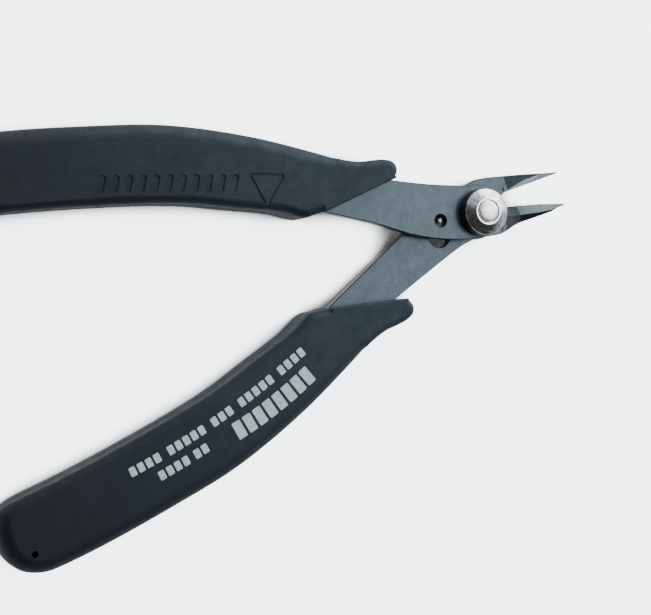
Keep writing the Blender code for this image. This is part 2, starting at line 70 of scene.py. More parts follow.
# ---------------------------------------------------------------------------
# Rear blade. A 2 mm spring steel plate, stamped, hardened and phosphated to a cloudy blue-grey,
# with a step coined round the pivot. Its jaw is ground to a flush cutting edge, and its tang
# runs into the lower sleeve. The pivot screw holds it under the front blade.

MM = 0.001
PLATE = 2.0 * MM
RIM_BEVEL = 0.16 * MM  # the broken edge that tumbling leaves round each stamped plate
REAR_JAW_START = 7.9 * MM  # pivot to where the ground facets begin
LIT_WALL_END = -15.0 * MM  # pivot to where the wall's painted highlight band starts to fade into painted shade
SHADED_WALL_START = -8.0 * MM  # from here to the tip the sheared wall is painted black, as painted shade
FACET_TURN = 7.0  # facets that meet at more than this many degrees keep a crisp line
MERGE = 0.002 * MM
TALL_WALL = 1.2 * MM

# How a face lies, by the height of its normal: 1 is level and 0 is upright.
LEVEL_FACE = 0.995
FLAT_FACE = 0.98
STEEP_FACE = 0.35
SHALLOW_FACE = 0.3
STANDING_FACE = 0.2
SLANTED_FACE = 0.02
INWARD_FACE = -0.25  # a jaw's facet that faces outwards less than this is its cutting bevel

screw_low, screw_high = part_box("pivot_screw")
PIVOT = Vector(((screw_low.x + screw_high.x) / 2, (screw_low.y + screw_high.y) / 2, 0.0))
HALF_OPEN = math.radians(frame["joints"][0]["range_deg"][1] / 2)


def open_for_edit(piece, kind="FACE"):
    bpy.ops.object.select_all(action="DESELECT")
    piece.select_set(True)
    bpy.context.view_layer.objects.active = piece
    bpy.ops.object.mode_set(mode="EDIT")
    bpy.ops.mesh.select_mode(type=kind)
    bpy.ops.mesh.select_all(action="DESELECT")


def close_edit():
    bpy.ops.object.mode_set(mode="OBJECT")


def pick_faces(piece, wanted):
    """Selects the faces for which wanted(face) is true."""
    shape = bmesh.from_edit_mesh(piece.data)
    for face in shape.faces:
        face.select_set(wanted(face))
    bmesh.update_edit_mesh(piece.data)


def pick_edges(piece, wanted):
    """Selects the edges for which wanted(edge) is true."""
    shape = bmesh.from_edit_mesh(piece.data)
    for edge in shape.edges:
        edge.select_set(wanted(edge))
    bmesh.update_edit_mesh(piece.data)


def merged_copy(node, name):
    """A copy of a CAD node whose loose triangles are merged back into whole faces."""
    made = bpy.data.objects.new(name, frame["nodes"][node].data.copy())
    bpy.context.scene.collection.objects.link(made)
    made.data.materials.clear()
    open_for_edit(made)
    bpy.ops.mesh.select_all(action="SELECT")
    bpy.ops.mesh.remove_doubles(threshold=MERGE)
    bpy.ops.mesh.customdata_custom_splitnormals_clear()
    bpy.ops.mesh.dissolve_limited(angle_limit=math.radians(0.4))
    close_edit()
    return made


def between_flat_and_wall(edge):
    """True on the rim of a plate or hole, where a level face meets a wall of full height."""
    if len(edge.link_faces) != 2:
        return False
    lying, standing = sorted(edge.link_faces, key=lambda face: -abs(face.normal.z))
    heights = [vert.co.z for vert in standing.verts]
    tall = max(heights) - min(heights) > TALL_WALL
    return abs(lying.normal.z) > FLAT_FACE and abs(standing.normal.z) < STANDING_FACE and tall


def break_rims(piece):
    open_for_edit(piece, "EDGE")
    pick_edges(piece, between_flat_and_wall)
    bpy.ops.mesh.bevel(offset=RIM_BEVEL, segments=2, affect="EDGES")
    close_edit()


def shade(piece, angle_deg=30):
    """Smooths the gentle turns and keeps the large flat faces flat."""
    bpy.ops.object.select_all(action="DESELECT")
    piece.select_set(True)
    bpy.context.view_layer.objects.active = piece
    bpy.ops.object.shade_smooth_by_angle(angle=math.radians(angle_deg), keep_sharp_edges=True)
    modifier = piece.modifiers.new("even_normals", "WEIGHTED_NORMAL")
    modifier.keep_sharp = True
    modifier.weight = 80
    bpy.ops.object.modifier_apply(modifier=modifier.name)


def crisp_facets(piece, along, start):
    """Keeps the lines between the ground facets of a jaw sharp."""
    open_for_edit(piece, "EDGE")
    pick_edges(
        piece,
        lambda edge: len(edge.link_faces) == 2
        and edge.calc_face_angle() > math.radians(FACET_TURN)
        and min((vert.co - PIVOT).dot(along) for vert in edge.verts) > start
        and max(abs(face.normal.z) for face in edge.link_faces) > SHALLOW_FACE,
    )
    bpy.ops.mesh.mark_sharp()
    close_edit()


def finish_of(name, colour, metallic, roughness):
    made = bpy.data.materials.new(name)
    made.use_nodes = True
    shader = made.node_tree.nodes["Principled BSDF"]
    shader.inputs["Base Color"].default_value = (*colour, 1.0)
    shader.inputs["Metallic"].default_value = metallic
    shader.inputs["Roughness"].default_value = roughness
    return made


def link(made, output, socket):
    made.node_tree.links.new(output, made.node_tree.nodes["Principled BSDF"].inputs[socket])


def mapped(made, centre=(0, 0, 0), stretch=(1, 1, 1), turn_deg=0.0):
    """Object coordinates moved to a centre, turned about Z and stretched."""
    nodes = made.node_tree.nodes
    where = nodes.new("ShaderNodeTexCoord")
    mapping = nodes.new("ShaderNodeMapping")
    turn = Matrix.Rotation(math.radians(turn_deg), 3, "Z")
    scaled = Vector(a * b for a, b in zip(stretch, centre))
    mapping.inputs["Location"].default_value = -(turn @ scaled)
    mapping.inputs["Rotation"].default_value = (0, 0, math.radians(turn_deg))
    mapping.inputs["Scale"].default_value = stretch
    made.node_tree.links.new(where.outputs["Object"], mapping.inputs["Vector"])
    return mapping.outputs["Vector"]


def noise(made, across_mm, detail=3.0, where=None):
    """Noise whose blotches are about this many millimetres across."""
    node = made.node_tree.nodes.new("ShaderNodeTexNoise")
    node.inputs["Scale"].default_value = 1.0 / (across_mm * MM)
    node.inputs["Detail"].default_value = detail
    made.node_tree.links.new(where or mapped(made), node.inputs["Vector"])
    return node.outputs["Fac"]


def ramp(made, value, *stops):
    node = made.node_tree.nodes.new("ShaderNodeValToRGB")
    points = node.color_ramp.elements
    while len(points) < len(stops):
        points.new(0.5)
    for point, (place, colour) in zip(points, stops):
        point.position = place
        point.color = (*colour, 1.0) if len(colour) == 3 else (colour[0],) * 3 + (1.0,)
    made.node_tree.links.new(value, node.inputs["Fac"])
    return node.outputs["Color"]


def blend_colours(made, share, first, second, how="MIX"):
    node = made.node_tree.nodes.new("ShaderNodeMix")
    node.data_type = "RGBA"
    node.blend_type = how
    links = made.node_tree.links
    if isinstance(share, float):
        node.inputs["Factor"].default_value = share
    else:
        links.new(share, node.inputs["Factor"])
    for socket, colour in (("A", first), ("B", second)):
        target = next(s for s in node.inputs if s.name == socket and s.type == "RGBA")
        if isinstance(colour, tuple):
            target.default_value = (*colour, 1.0)
        else:
            links.new(colour, target)
    return next(s for s in node.outputs if s.type == "RGBA")


def object_axis(made, axis):
    """One of the object coordinates as a value."""
    nodes = made.node_tree.nodes
    where = nodes.new("ShaderNodeTexCoord")
    split = nodes.new("ShaderNodeSeparateXYZ")
    made.node_tree.links.new(where.outputs["Object"], split.inputs["Vector"])
    return split.outputs[axis]


def share_between(made, value, start, end, how="LINEAR"):
    """A value that goes from 0 at the start to 1 at the end."""
    node = made.node_tree.nodes.new("ShaderNodeMapRange")
    node.interpolation_type = how
    node.inputs["From Min"].default_value = start
    node.inputs["From Max"].default_value = end
    made.node_tree.links.new(value, node.inputs["Value"])
    return node.outputs["Result"]


def bump(made, height, depth_mm, strength=1.0, under=None):
    node = made.node_tree.nodes.new("ShaderNodeBump")
    node.inputs["Strength"].default_value = strength
    node.inputs["Distance"].default_value = depth_mm * MM
    made.node_tree.links.new(height, node.inputs["Height"])
    if under:
        made.node_tree.links.new(under, node.inputs["Normal"])
    return node.outputs["Normal"]


def phosphated_plate():
    made = finish_of("phosphated_plate", (0.09, 0.12, 0.14), 0.85, 0.42)
    clouds = ramp(made, noise(made, 4.5, 5), (0.3, (0.0655, 0.085, 0.1025)), (0.72, (0.076, 0.099, 0.117)))
    grain = ramp(made, noise(made, 0.3, 3), (0.3, (0.8,)), (0.7, (1.14,)))
    link(made, blend_colours(made, 1.0, clouds, grain, "MULTIPLY"), "Base Color")
    link(made, ramp(made, noise(made, 1.6, 4), (0.3, (0.41,)), (0.7, (0.47,))), "Roughness")
    coarse = bump(made, noise(made, 0.7, 4), 0.0025)
    link(made, bump(made, noise(made, 0.12, 2), 0.003, 1.0, coarse), "Normal")
    return made


def sheared_wall(name, bottom, top):
    """The stamped edge, finely scored: a painted highlight band between painted shaded rims, which fades
    into painted shade towards the tip.
    """
    made = finish_of(name, (0.3, 0.35, 0.37), 0.9, 0.34)
    dark, light = (0.025, 0.034, 0.04), (0.42, 0.48, 0.5)
    level = share_between(made, object_axis(made, "Z"), bottom, top)
    # painted shade on the rims at bottom and top, painted highlight on the band between them
    painted_light_bands = ramp(made, level, (0.28, dark), (0.36, light), (0.64, light), (0.72, dark), (1.0, dark))
    scores = noise(made, 0.16, 2, mapped(made, stretch=(1, 1, 0.08)))
    tone = ramp(made, scores, (0.3, (0.62,)), (0.7, (1.0,)))
    scored = blend_colours(made, 1.0, painted_light_bands, tone, "MULTIPLY")
    # painted shade: towards the tip the wall goes black
    fade_start, fade_end = PIVOT.x + LIT_WALL_END, PIVOT.x + SHADED_WALL_START
    fade = share_between(made, object_axis(made, "X"), fade_start, fade_end, "SMOOTHSTEP")
    link(made, blend_colours(made, fade, scored, dark), "Base Color")
    link(made, bump(made, scores, 0.012), "Normal")
    return made


def ground_facet(name, dark, light, turn_deg, roughness):
    """A facet off the grinding wheel, with its scratches all one way."""
    made = finish_of(name, light, 0.9, roughness)
    along = mapped(made, PIVOT, (1, 0.06, 1), turn_deg)
    scratches = noise(made, 0.11, 3, along)
    tone = ramp(made, scratches, (0.32, dark), (0.68, light))
    haze = ramp(made, noise(made, 1.4, 3), (0.3, (0.82,)), (0.7, (1.08,)))
    link(made, blend_colours(made, 1.0, tone, haze, "MULTIPLY"), "Base Color")
    link(made, bump(made, scratches, 0.006), "Normal")
    return made


def own_axes(side):
    """Unit vectors along a half's jaw and out from it, at rest: side is 1 in front, -1 behind."""
    turn = -side * HALF_OPEN
    along = Vector((math.cos(turn), math.sin(turn), 0))
    return along, Vector((along.y, -along.x, 0)) * side


def dress_blade(piece, side, facets_from, looks):
    """Gives each face its finish: plate, stamped wall, the jaw's wall, its bevel or its facet."""
    along, outwards = own_axes(side)
    for look in looks:
        piece.data.materials.append(look)
    plate, wall, jaw_wall, bevel, facet = range(len(looks))
    for face in piece.data.polygons:
        at = (face.center - PIVOT).dot(along)
        on_jaw = at >= facets_from
        on_rim = not on_jaw and SLANTED_FACE < abs(face.normal.z) < FLAT_FACE
        if abs(face.normal.z) < STEEP_FACE or on_rim:
            face.material_index = jaw_wall if on_jaw else wall
        elif not on_jaw or face.normal.z < 0 or face.normal.z > LEVEL_FACE:
            face.material_index = plate
        elif face.normal.dot(outwards) < INWARD_FACE:
            face.material_index = bevel
        else:
            face.material_index = facet


plate_look = phosphated_plate()
rear_low, rear_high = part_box("rear_blade")
rear_wall = sheared_wall("rear_sheared_wall", rear_low.z, rear_high.z)
bright_bevel = ground_facet("bright_bevel", (0.42, 0.45, 0.52), (0.62, 0.66, 0.74), -20, 0.35)
# painted shade and painted reflection: the jaws' outer facets and walls are ground steel painted near
# black; the bright bevel keeps the steel's own colour
shade_painted_facet = ground_facet("shade_painted_facet", (0.008, 0.013, 0.016), (0.022, 0.032, 0.037), 70, 0.42)
rear = merged_copy("rear_blade", "rear_blade_stamping")
break_rims(rear)
crisp_facets(rear, own_axes(-1)[0], REAR_JAW_START)
shade(rear)
dress_blade(rear, -1, REAR_JAW_START, (plate_look, rear_wall, shade_painted_facet, bright_bevel, shade_painted_facet))
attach(rear, "rear_half")
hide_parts("rear_blade")


# ---------------------------------------------------------------------------
# Pivot screw. Turned from bright steel bar: a flat head behind, a shank through both blades, and
# an end peened over the collar into a low dome. It turns with the rear blade.

HEAD_RADIUS = 4.6 * MM
HEAD_HEIGHT = 1.3 * MM
HEAD_CHAMFER = 0.4 * MM
SHANK_RADIUS = 2.4 * MM
SHANK_TOP = 6.85 * MM
END_RADIUS = 1.7 * MM
DOME_RADIUS = 2.0 * MM
DOME_HEIGHT = 0.75 * MM
DOME_RIM = 0.4 * MM
DOME_STEPS = 9
TURNED_SIDES = 96


def turned(name, profile, sides=TURNED_SIDES):
    """A profile of (radius, height) points drawn point by point and spun about the pivot."""
    bpy.ops.object.select_all(action="DESELECT")
    start = PIVOT + Vector((profile[0][0], 0, profile[0][1]))
    bpy.ops.mesh.primitive_plane_add(size=MM, location=start)
    made = bpy.context.active_object
    made.name = name
    bpy.ops.object.transform_apply(location=True, rotation=True, scale=True)
    bpy.ops.object.mode_set(mode="EDIT")
    bpy.ops.mesh.select_mode(type="VERT")
    bpy.ops.mesh.select_all(action="SELECT")
    bpy.ops.mesh.merge(type="CENTER")
    for (radius, height), (wider, higher) in zip(profile, profile[1:]):
        step = (wider - radius, 0, higher - height)
        bpy.ops.mesh.extrude_region_move(TRANSFORM_OT_translate={"value": step})
    bpy.ops.mesh.select_all(action="SELECT")
    bpy.ops.mesh.spin(steps=sides, angle=math.tau, center=PIVOT, axis=(0, 0, 1))
    bpy.ops.mesh.select_all(action="SELECT")
    bpy.ops.mesh.remove_doubles(threshold=0.001 * MM)
    bpy.ops.mesh.normals_make_consistent(inside=False)
    close_edit()
    return made


def break_corners(piece, offset, sharpness_deg=35, segments=2):
    open_for_edit(piece, "EDGE")
    bpy.ops.mesh.edges_select_sharp(sharpness=math.radians(sharpness_deg))
    bpy.ops.mesh.bevel(offset=offset, segments=segments, affect="EDGES")
    close_edit()


def lathe_rings(made, pitch_mm, wander_mm):
    """Fine rings round the pivot's axis, as a lathe tool leaves them."""
    centred = mapped(made, PIVOT, (1, 1, 0))
    rings = made.node_tree.nodes.new("ShaderNodeTexWave")
    rings.wave_type = "RINGS"
    rings.rings_direction = "SPHERICAL"
    rings.inputs["Scale"].default_value = 0.31 / (pitch_mm * MM)
    rings.inputs["Distortion"].default_value = wander_mm / pitch_mm
    rings.inputs["Detail"].default_value = 2
    rings.inputs["Detail Scale"].default_value = 1.5
    made.node_tree.links.new(centred, rings.inputs["Vector"])
    return rings.outputs["Fac"]


def turned_steel(name, dark, light, roughness):
    made = finish_of(name, light, 1.0, roughness)
    blotches = ramp(made, noise(made, 0.9, 5), (0.34, dark), (0.62, light))
    link(made, blotches, "Base Color")
    rough = ramp(made, noise(made, 0.5, 4), (0.3, (roughness * 0.8,)), (0.7, (roughness * 1.3,)))
    link(made, rough, "Roughness")
    tooled = bump(made, lathe_rings(made, 0.16, 0.06), 0.004)
    link(made, bump(made, noise(made, 0.35, 3), 0.012, 0.6, tooled), "Normal")
    return made


head_bottom = screw_low.z
dome_base = screw_high.z - DOME_HEIGHT
screw_profile = [
    (0, head_bottom),
    (HEAD_RADIUS - HEAD_CHAMFER, head_bottom),
    (HEAD_RADIUS, head_bottom + HEAD_CHAMFER),
    (HEAD_RADIUS, head_bottom + HEAD_HEIGHT),
    (SHANK_RADIUS, head_bottom + HEAD_HEIGHT),
    (SHANK_RADIUS, SHANK_TOP),
    (END_RADIUS, SHANK_TOP),
    (END_RADIUS, dome_base),
    (DOME_RADIUS, dome_base),
    (DOME_RADIUS, dome_base + DOME_RIM),
]
for dome_step in range(1, DOME_STEPS):
    rise = math.pi / 2 * dome_step / DOME_STEPS
    lift = (DOME_HEIGHT - DOME_RIM) * math.sin(rise)
    screw_profile.append((DOME_RADIUS * math.cos(rise), dome_base + DOME_RIM + lift))
screw_profile.append((0, screw_high.z))
screw = turned("pivot_screw_turned", screw_profile)
break_corners(screw, 0.06 * MM, 42)
shade(screw)
screw.data.materials.append(turned_steel("peened_steel", (0.82, 0.83, 0.84), (0.96, 0.96, 0.96), 0.36))
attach(screw, "rear_half")
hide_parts("pivot_screw")


# ---------------------------------------------------------------------------
# Return spring. One length of 1 mm music wire, bent up at both ends: the hooked end stands in the front
# blade's hole, the other in a hole of the rear tang, and the straight length between them is what flexes on
# the real tool; here it is one fixed shape.

WIRE_RADIUS = 0.5 * MM
WIRE_SIDES = 20
BEND_RADIUS = 1.2 * MM
BEND_STEPS = 8
STRAIGHT_STEPS = 28
ANCHOR_TOP = 4.15 * MM

spring_low, spring_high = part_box("return_spring")
wire_level = spring_low.z + WIRE_RADIUS
hook = Vector((spring_high.x - WIRE_RADIUS, spring_high.y - WIRE_RADIUS, spring_high.z))
anchor = Vector((spring_low.x + WIRE_RADIUS, spring_low.y + WIRE_RADIUS, ANCHOR_TOP))
wire_along = Vector((anchor.x - hook.x, anchor.y - hook.y, 0))
wire_length = wire_along.length
wire_along.normalize()
wire_across = Vector((-wire_along.y, wire_along.x, 0))


def drawn_wire():
    made = finish_of("drawn_wire", (0.5, 0.51, 0.52), 1.0, 0.28)
    # painted shade: the wire's colour is kept dark so that its end, down in the front blade's hole, shows
    # only a dim glint
    tone = ramp(made, noise(made, 0.8, 4), (0.3, (0.13, 0.14, 0.15)), (0.7, (0.24, 0.25, 0.26)))
    link(made, tone, "Base Color")
    link(made, ramp(made, noise(made, 0.3, 3), (0.3, (0.2,)), (0.7, (0.4,))), "Roughness")
    link(made, bump(made, noise(made, 0.1, 2), 0.002), "Normal")
    return made


bpy.ops.object.select_all(action="DESELECT")
bpy.ops.mesh.primitive_circle_add(
    vertices=WIRE_SIDES, radius=WIRE_RADIUS, fill_type="NGON", location=hook
)
spring = bpy.context.active_object
spring.name = "return_spring_wire"
bpy.ops.object.transform_apply(location=True, rotation=True, scale=True)
bpy.ops.object.mode_set(mode="EDIT")
bpy.ops.mesh.select_mode(type="FACE")
bpy.ops.mesh.select_all(action="SELECT")
drop = wire_level + BEND_RADIUS - hook.z
bpy.ops.mesh.extrude_region_move(TRANSFORM_OT_translate={"value": (0, 0, drop)})
bend_centre = Vector((hook.x, hook.y, wire_level + BEND_RADIUS)) + wire_along * BEND_RADIUS
bpy.ops.mesh.spin(steps=BEND_STEPS, angle=math.pi / 2, center=bend_centre, axis=wire_across)
for _ in range(STRAIGHT_STEPS):
    step = wire_along * (wire_length - 2 * BEND_RADIUS) / STRAIGHT_STEPS
    bpy.ops.mesh.extrude_region_move(TRANSFORM_OT_translate={"value": step})
bend_centre = Vector((anchor.x, anchor.y, wire_level + BEND_RADIUS)) - wire_along * BEND_RADIUS
bpy.ops.mesh.spin(steps=BEND_STEPS, angle=math.pi / 2, center=bend_centre, axis=wire_across)
rise = ANCHOR_TOP - wire_level - BEND_RADIUS
bpy.ops.mesh.extrude_region_move(TRANSFORM_OT_translate={"value": (0, 0, rise)})
bpy.ops.mesh.select_all(action="SELECT")
bpy.ops.mesh.remove_doubles(threshold=0.001 * MM)
bpy.ops.mesh.normals_make_consistent(inside=False)
close_edit()
break_corners(spring, 0.08 * MM, 60)
shade(spring)
spring.data.materials.append(drawn_wire())
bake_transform(spring)
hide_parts("return_spring")


# ---------------------------------------------------------------------------
# Front blade. Stamped and phosphated like the rear one and lapped over it. It comes down past
# the rear boss to its own ground jaw, and the spring's hooked end stands in its small hole.

FRONT_SLOPE_START = 5.6 * MM  # pivot to where the blade starts down past the rear boss
FRONT_JAW_START = 10.3 * MM

front = merged_copy("front_blade", "front_blade_stamping")
break_rims(front)
front_along = own_axes(1)[0]
crisp_facets(front, front_along, FRONT_SLOPE_START)
shade(front)
# painted shade: the front jaw's bevel is the same ground steel, painted grey
shade_painted_bevel = ground_facet("shade_painted_bevel", (0.04, 0.056, 0.06), (0.1, 0.128, 0.13), 0, 0.38)
front_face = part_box("front_blade")[1].z
front_wall = sheared_wall("front_sheared_wall", front_face - PLATE, front_face)
dress_blade(front, 1, FRONT_JAW_START, (plate_look, front_wall, shade_painted_facet, shade_painted_bevel, shade_painted_facet))
# painted shade: the slope down past the rear boss is painted dark
front.data.materials.append(ground_facet("shade_painted_root", (0.006, 0.01, 0.012), (0.045, 0.062, 0.07), 8, 0.45))
for face in front.data.polygons:
    at = (face.center - PIVOT).dot(front_along)
    if FRONT_SLOPE_START < at < FRONT_JAW_START and STANDING_FACE < face.normal.z < LEVEL_FACE:
        face.material_index = len(front.data.materials) - 1
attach(front, "front_half")
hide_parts("front_blade")


# ---------------------------------------------------------------------------
# Pivot washer. A ring of spring steel, punched and blackened. It lies between the front blade
# and the collar, and the collar holds it down.

WASHER_BORE = 2.0 * MM

washer_low, washer_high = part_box("pivot_washer")
washer_radius = (washer_high.x - washer_low.x) / 2


def blackened_steel():
    made = finish_of("blackened_steel", (0.012, 0.014, 0.016), 0.4, 0.45)
    tone = ramp(made, noise(made, 0.6, 4), (0.35, (0.008, 0.01, 0.012)), (0.7, (0.022, 0.026, 0.03)))
    link(made, tone, "Base Color")
    link(made, ramp(made, noise(made, 0.4, 3), (0.3, (0.34,)), (0.7, (0.55,))), "Roughness")
    link(made, bump(made, noise(made, 0.2, 3), 0.008), "Normal")
    return made


black_look = blackened_steel()
washer = turned(
    "pivot_washer_ring",
    [
        (WASHER_BORE, washer_low.z),
        (washer_radius, washer_low.z),
        (washer_radius, washer_high.z),
        (WASHER_BORE, washer_high.z),
        (WASHER_BORE, washer_low.z),
    ],
)
break_corners(washer, 0.15 * MM)
shade(washer)
washer.data.materials.append(black_look)
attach(washer, "rear_half")
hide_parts("pivot_washer")


# ---------------------------------------------------------------------------
# Pivot collar. A round nut turned from bar: a low wall, a cone up to a narrow bright ring, and
# a recess in which the screw's end is peened. The wall stays black, the cone is turned bright.

COLLAR_WALL = 1.1 * MM
RING_RADIUS = 2.55 * MM
RING_WIDTH = 0.3 * MM
RECESS = 0.55 * MM
RIM_SLACK = 0.04 * MM

collar_low, collar_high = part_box("pivot_collar")
collar_radius = (collar_high.x - collar_low.x) / 2
ring_inside = RING_RADIUS - RING_WIDTH
collar = turned(
    "pivot_collar_nut",
    [
        (WASHER_BORE, collar_low.z),
        (collar_radius, collar_low.z),
        (collar_radius, collar_low.z + COLLAR_WALL),
        (RING_RADIUS, collar_high.z),
        (ring_inside, collar_high.z),
        (ring_inside, collar_high.z - RECESS),
        (WASHER_BORE, collar_high.z - RECESS),
        (WASHER_BORE, collar_low.z),
    ],
)
break_corners(collar, 0.07 * MM, 20, 3)
shade(collar, 20)
collar.data.materials.append(turned_steel("turned_cone", (0.3, 0.31, 0.31), (0.66, 0.68, 0.67), 0.2))
collar.data.materials.append(black_look)
collar.data.materials.append(turned_steel("bright_ring", (0.8, 0.81, 0.82), (0.95, 0.95, 0.95), 0.3))
for face in collar.data.polygons:
    out = (face.center - PIVOT).to_2d().length
    if out > collar_radius - RIM_SLACK and abs(face.normal.z) < STANDING_FACE:
        face.material_index = 1
    elif out < RING_RADIUS + RIM_SLACK:
        face.material_index = 2
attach(collar, "rear_half")
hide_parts("pivot_collar")


# ---------------------------------------------------------------------------
# Rear grip. A sleeve moulded in matt charcoal static-dissipative elastomer and pushed over the
# rear tang. It has a flat panel in front, round rims, a parting groove and a blind pin hole.

PARTING_HALF = 0.16 * MM
PARTING_DEPTH = 0.07 * MM
MOUTH_KEPT_PLAIN = 26 * MM  # no parting groove this close to the lip
SLEEVE_SHADE_END = 95 * MM  # pivot to where the painted shade makes the sleeves darkest, for the light falling off away from the jaws
SLEEVE_SHADE_START = SLEEVE_SHADE_END / 4

grip_low, grip_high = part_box("rear_grip")
grip_middle = (grip_low.z + grip_high.z) / 2


def moulded_elastomer():
    made = finish_of("moulded_elastomer", (0.012, 0.018, 0.021), 0.0, 0.6)
    made.node_tree.nodes["Principled BSDF"].inputs["Specular IOR Level"].default_value = 0.3
    clouds = ramp(made, noise(made, 11, 4), (0.3, (0.0064, 0.0195, 0.031)), (0.7, (0.0118, 0.0275, 0.0415)))
    specks = ramp(made, noise(made, 0.3, 3), (0.3, (0.75,)), (0.7, (1.2,)))
    speckled = blend_colours(made, 1.0, clouds, specks, "MULTIPLY")
    # painted shade: the sleeves darken towards their ends, for the light falling off away from the jaws
    along = share_between(made, object_axis(made, "X"), PIVOT.x - SLEEVE_SHADE_END, PIVOT.x - SLEEVE_SHADE_START)
    painted_falloff = ramp(made, along, (0.0, (0.38, 0.38, 0.4)), (1.0, (1.0,)))
    link(made, blend_colours(made, 1.0, speckled, painted_falloff, "MULTIPLY"), "Base Color")
    link(made, ramp(made, noise(made, 2.2, 4), (0.3, (0.52,)), (0.7, (0.68,))), "Roughness")
    coarse = bump(made, noise(made, 0.9, 4), 0.02)
    link(made, bump(made, noise(made, 0.16, 2), 0.012, 1.0, coarse), "Normal")
    return made


def parting_groove(piece, lip_x):
    """A fine groove round the sleeve where the halves of its mould met."""
    for offset in (-PARTING_HALF, PARTING_HALF):
        open_for_edit(piece)
        bpy.ops.mesh.select_all(action="SELECT")
        bpy.ops.mesh.bisect(plane_co=(0, 0, grip_middle + offset), plane_no=(0, 0, 1))
        close_edit()
    open_for_edit(piece)
    pick_faces(
        piece,
        lambda face: abs(face.calc_center_median().z - grip_middle) < PARTING_HALF
        and abs(face.normal.z) < SHALLOW_FACE
        and face.calc_center_median().x < lip_x - MOUTH_KEPT_PLAIN,
    )
    bpy.ops.mesh.extrude_region_shrink_fatten(TRANSFORM_OT_shrink_fatten={"value": -PARTING_DEPTH})
    close_edit()


elastomer = moulded_elastomer()
rear_grip = merged_copy("rear_grip", "rear_grip_sleeve")
parting_groove(rear_grip, grip_high.x)
shade(rear_grip, 32)
rear_grip.data.materials.append(elastomer)
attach(rear_grip, "rear_half")
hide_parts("rear_grip")


# ---------------------------------------------------------------------------
# Print on the rear grip. Pale ink pad-printed on the flat panel: plain blocks in three rows,
# which stand for the maker's marking and say nothing.

INK = 0.02 * MM
BLOCK_CORNER = 0.22 * MM
BIG_BLOCK = 1.75  # block widths and gaps in mm
BIG_GAP = 0.55
SMALL_BLOCK = 1.2
SMALL_GAP = 0.45

# Each row: its arc's centre from the pivot, radius, start in degrees, and block height, in mm.
ROW_BIG = ((-79.0, 52.4), 80.0, -63.4, 3.3)
ROW_LONG = ((-106.4, 122.9), 151.5, -65.4, 1.7)
ROW_SHORT = ((-106.4, 122.9), 154.6, -74.7, 1.7)


def printed_ink():
    made = finish_of("printed_ink", (0.5, 0.58, 0.62), 0.0, 0.6)
    worn = ramp(made, noise(made, 0.5, 4), (0.3, (0.36, 0.44, 0.48)), (0.6, (0.58, 0.66, 0.7)))
    link(made, worn, "Base Color")
    link(made, bump(made, noise(made, 0.2, 3), 0.01), "Normal")
    return made


def rounded_block(length, width, height, corner):
    """A flat block at the origin, its upright corners rounded."""
    bpy.ops.object.select_all(action="DESELECT")
    bpy.ops.mesh.primitive_cube_add(size=1, location=(0, 0, 0))
    block = bpy.context.active_object
    block.scale = (length, width, height)
    bpy.ops.object.transform_apply(location=True, rotation=True, scale=True)
    open_for_edit(block, "EDGE")
    pick_edges(block, lambda edge: abs(edge.verts[0].co.z - edge.verts[1].co.z) > height / 2)
    bpy.ops.mesh.bevel(offset=corner, segments=3, affect="EDGES")
    close_edit()
    return block


def joined(pieces):
    """The pieces as one, with their moves and turns applied."""
    bpy.ops.object.select_all(action="DESELECT")
    for piece in pieces:
        piece.select_set(True)
    bpy.context.view_layer.objects.active = pieces[0]
    bpy.ops.object.transform_apply(location=True, rotation=True, scale=True)
    bpy.ops.object.join()
    return pieces[0]


def row_of_blocks(row, words, gap, word_gap, surface):
    """Blocks set along an arc, outer side down, as words of equal blocks."""
    (centre_x, centre_y), radius, start_deg, height = row
    centre = PIVOT + Vector((centre_x, centre_y, 0)) * MM
    blocks = []
    run = 0.0
    for count, width in words:
        for _ in range(count):
            turn = math.radians(start_deg) - (run + width / 2) / radius
            block = rounded_block(width * MM, height * MM, 2 * INK, BLOCK_CORNER)
            reach = Vector((math.cos(turn), math.sin(turn), 0)) * radius * MM
            block.location = centre + reach + Vector((0, 0, surface))
            block.rotation_euler.z = turn + math.pi / 2
            blocks.append(block)
            run += width + gap
        run += word_gap
    return blocks


long_words = [(count, SMALL_BLOCK) for count in (4, 5, 3, 5, 4)]
short_words = [(count, SMALL_BLOCK) for count in (2, 4)]
blocks = row_of_blocks(ROW_BIG, [(8, BIG_BLOCK)], BIG_GAP, 0.0, grip_high.z)
blocks += row_of_blocks(ROW_LONG, long_words, SMALL_GAP, 1.2, grip_high.z)
blocks += row_of_blocks(ROW_SHORT, short_words, SMALL_GAP, 0.8, grip_high.z)
ink = joined(blocks)
ink.name = "rear_grip_print"
ink.data.materials.append(printed_ink())
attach(ink, "rear_half")


# ---------------------------------------------------------------------------
# Front grip. The same moulded sleeve, turned over, on the front tang. Its panel is engraved with
# a plain triangle and a row of short ribs, which stand for the mould's marking.

ENGRAVED = 0.2 * MM
BAR_ROUND = 0.45  # the rounding of a cut's ends, as a share of its width
GROOVE_WIDTH = 0.5 * MM
RIB_WIDTH = 1.2 * MM
TRIANGLE_AT = (-41.6, 15.9)
TRIANGLE_SIDE = 6.6
TRIANGLE_TURN = -16.0
RIBS_FROM = (-71.2, 23.7)
RIBS_TO = (-47.4, 17.8)
RIB_COUNT = 11
RIB_LENGTH = 3.3 * MM
RIB_LEAN = 62.0


def cutter_bar(centre, length, width, turn_deg, surface):
    """A round-ended bar that cuts a shallow groove into the panel."""
    bar = rounded_block(length, width, 2 * ENGRAVED, BAR_ROUND * width)
    bar.location = PIVOT + Vector((centre[0] * MM, centre[1] * MM, surface))
    bar.rotation_euler.z = math.radians(turn_deg)
    return bar


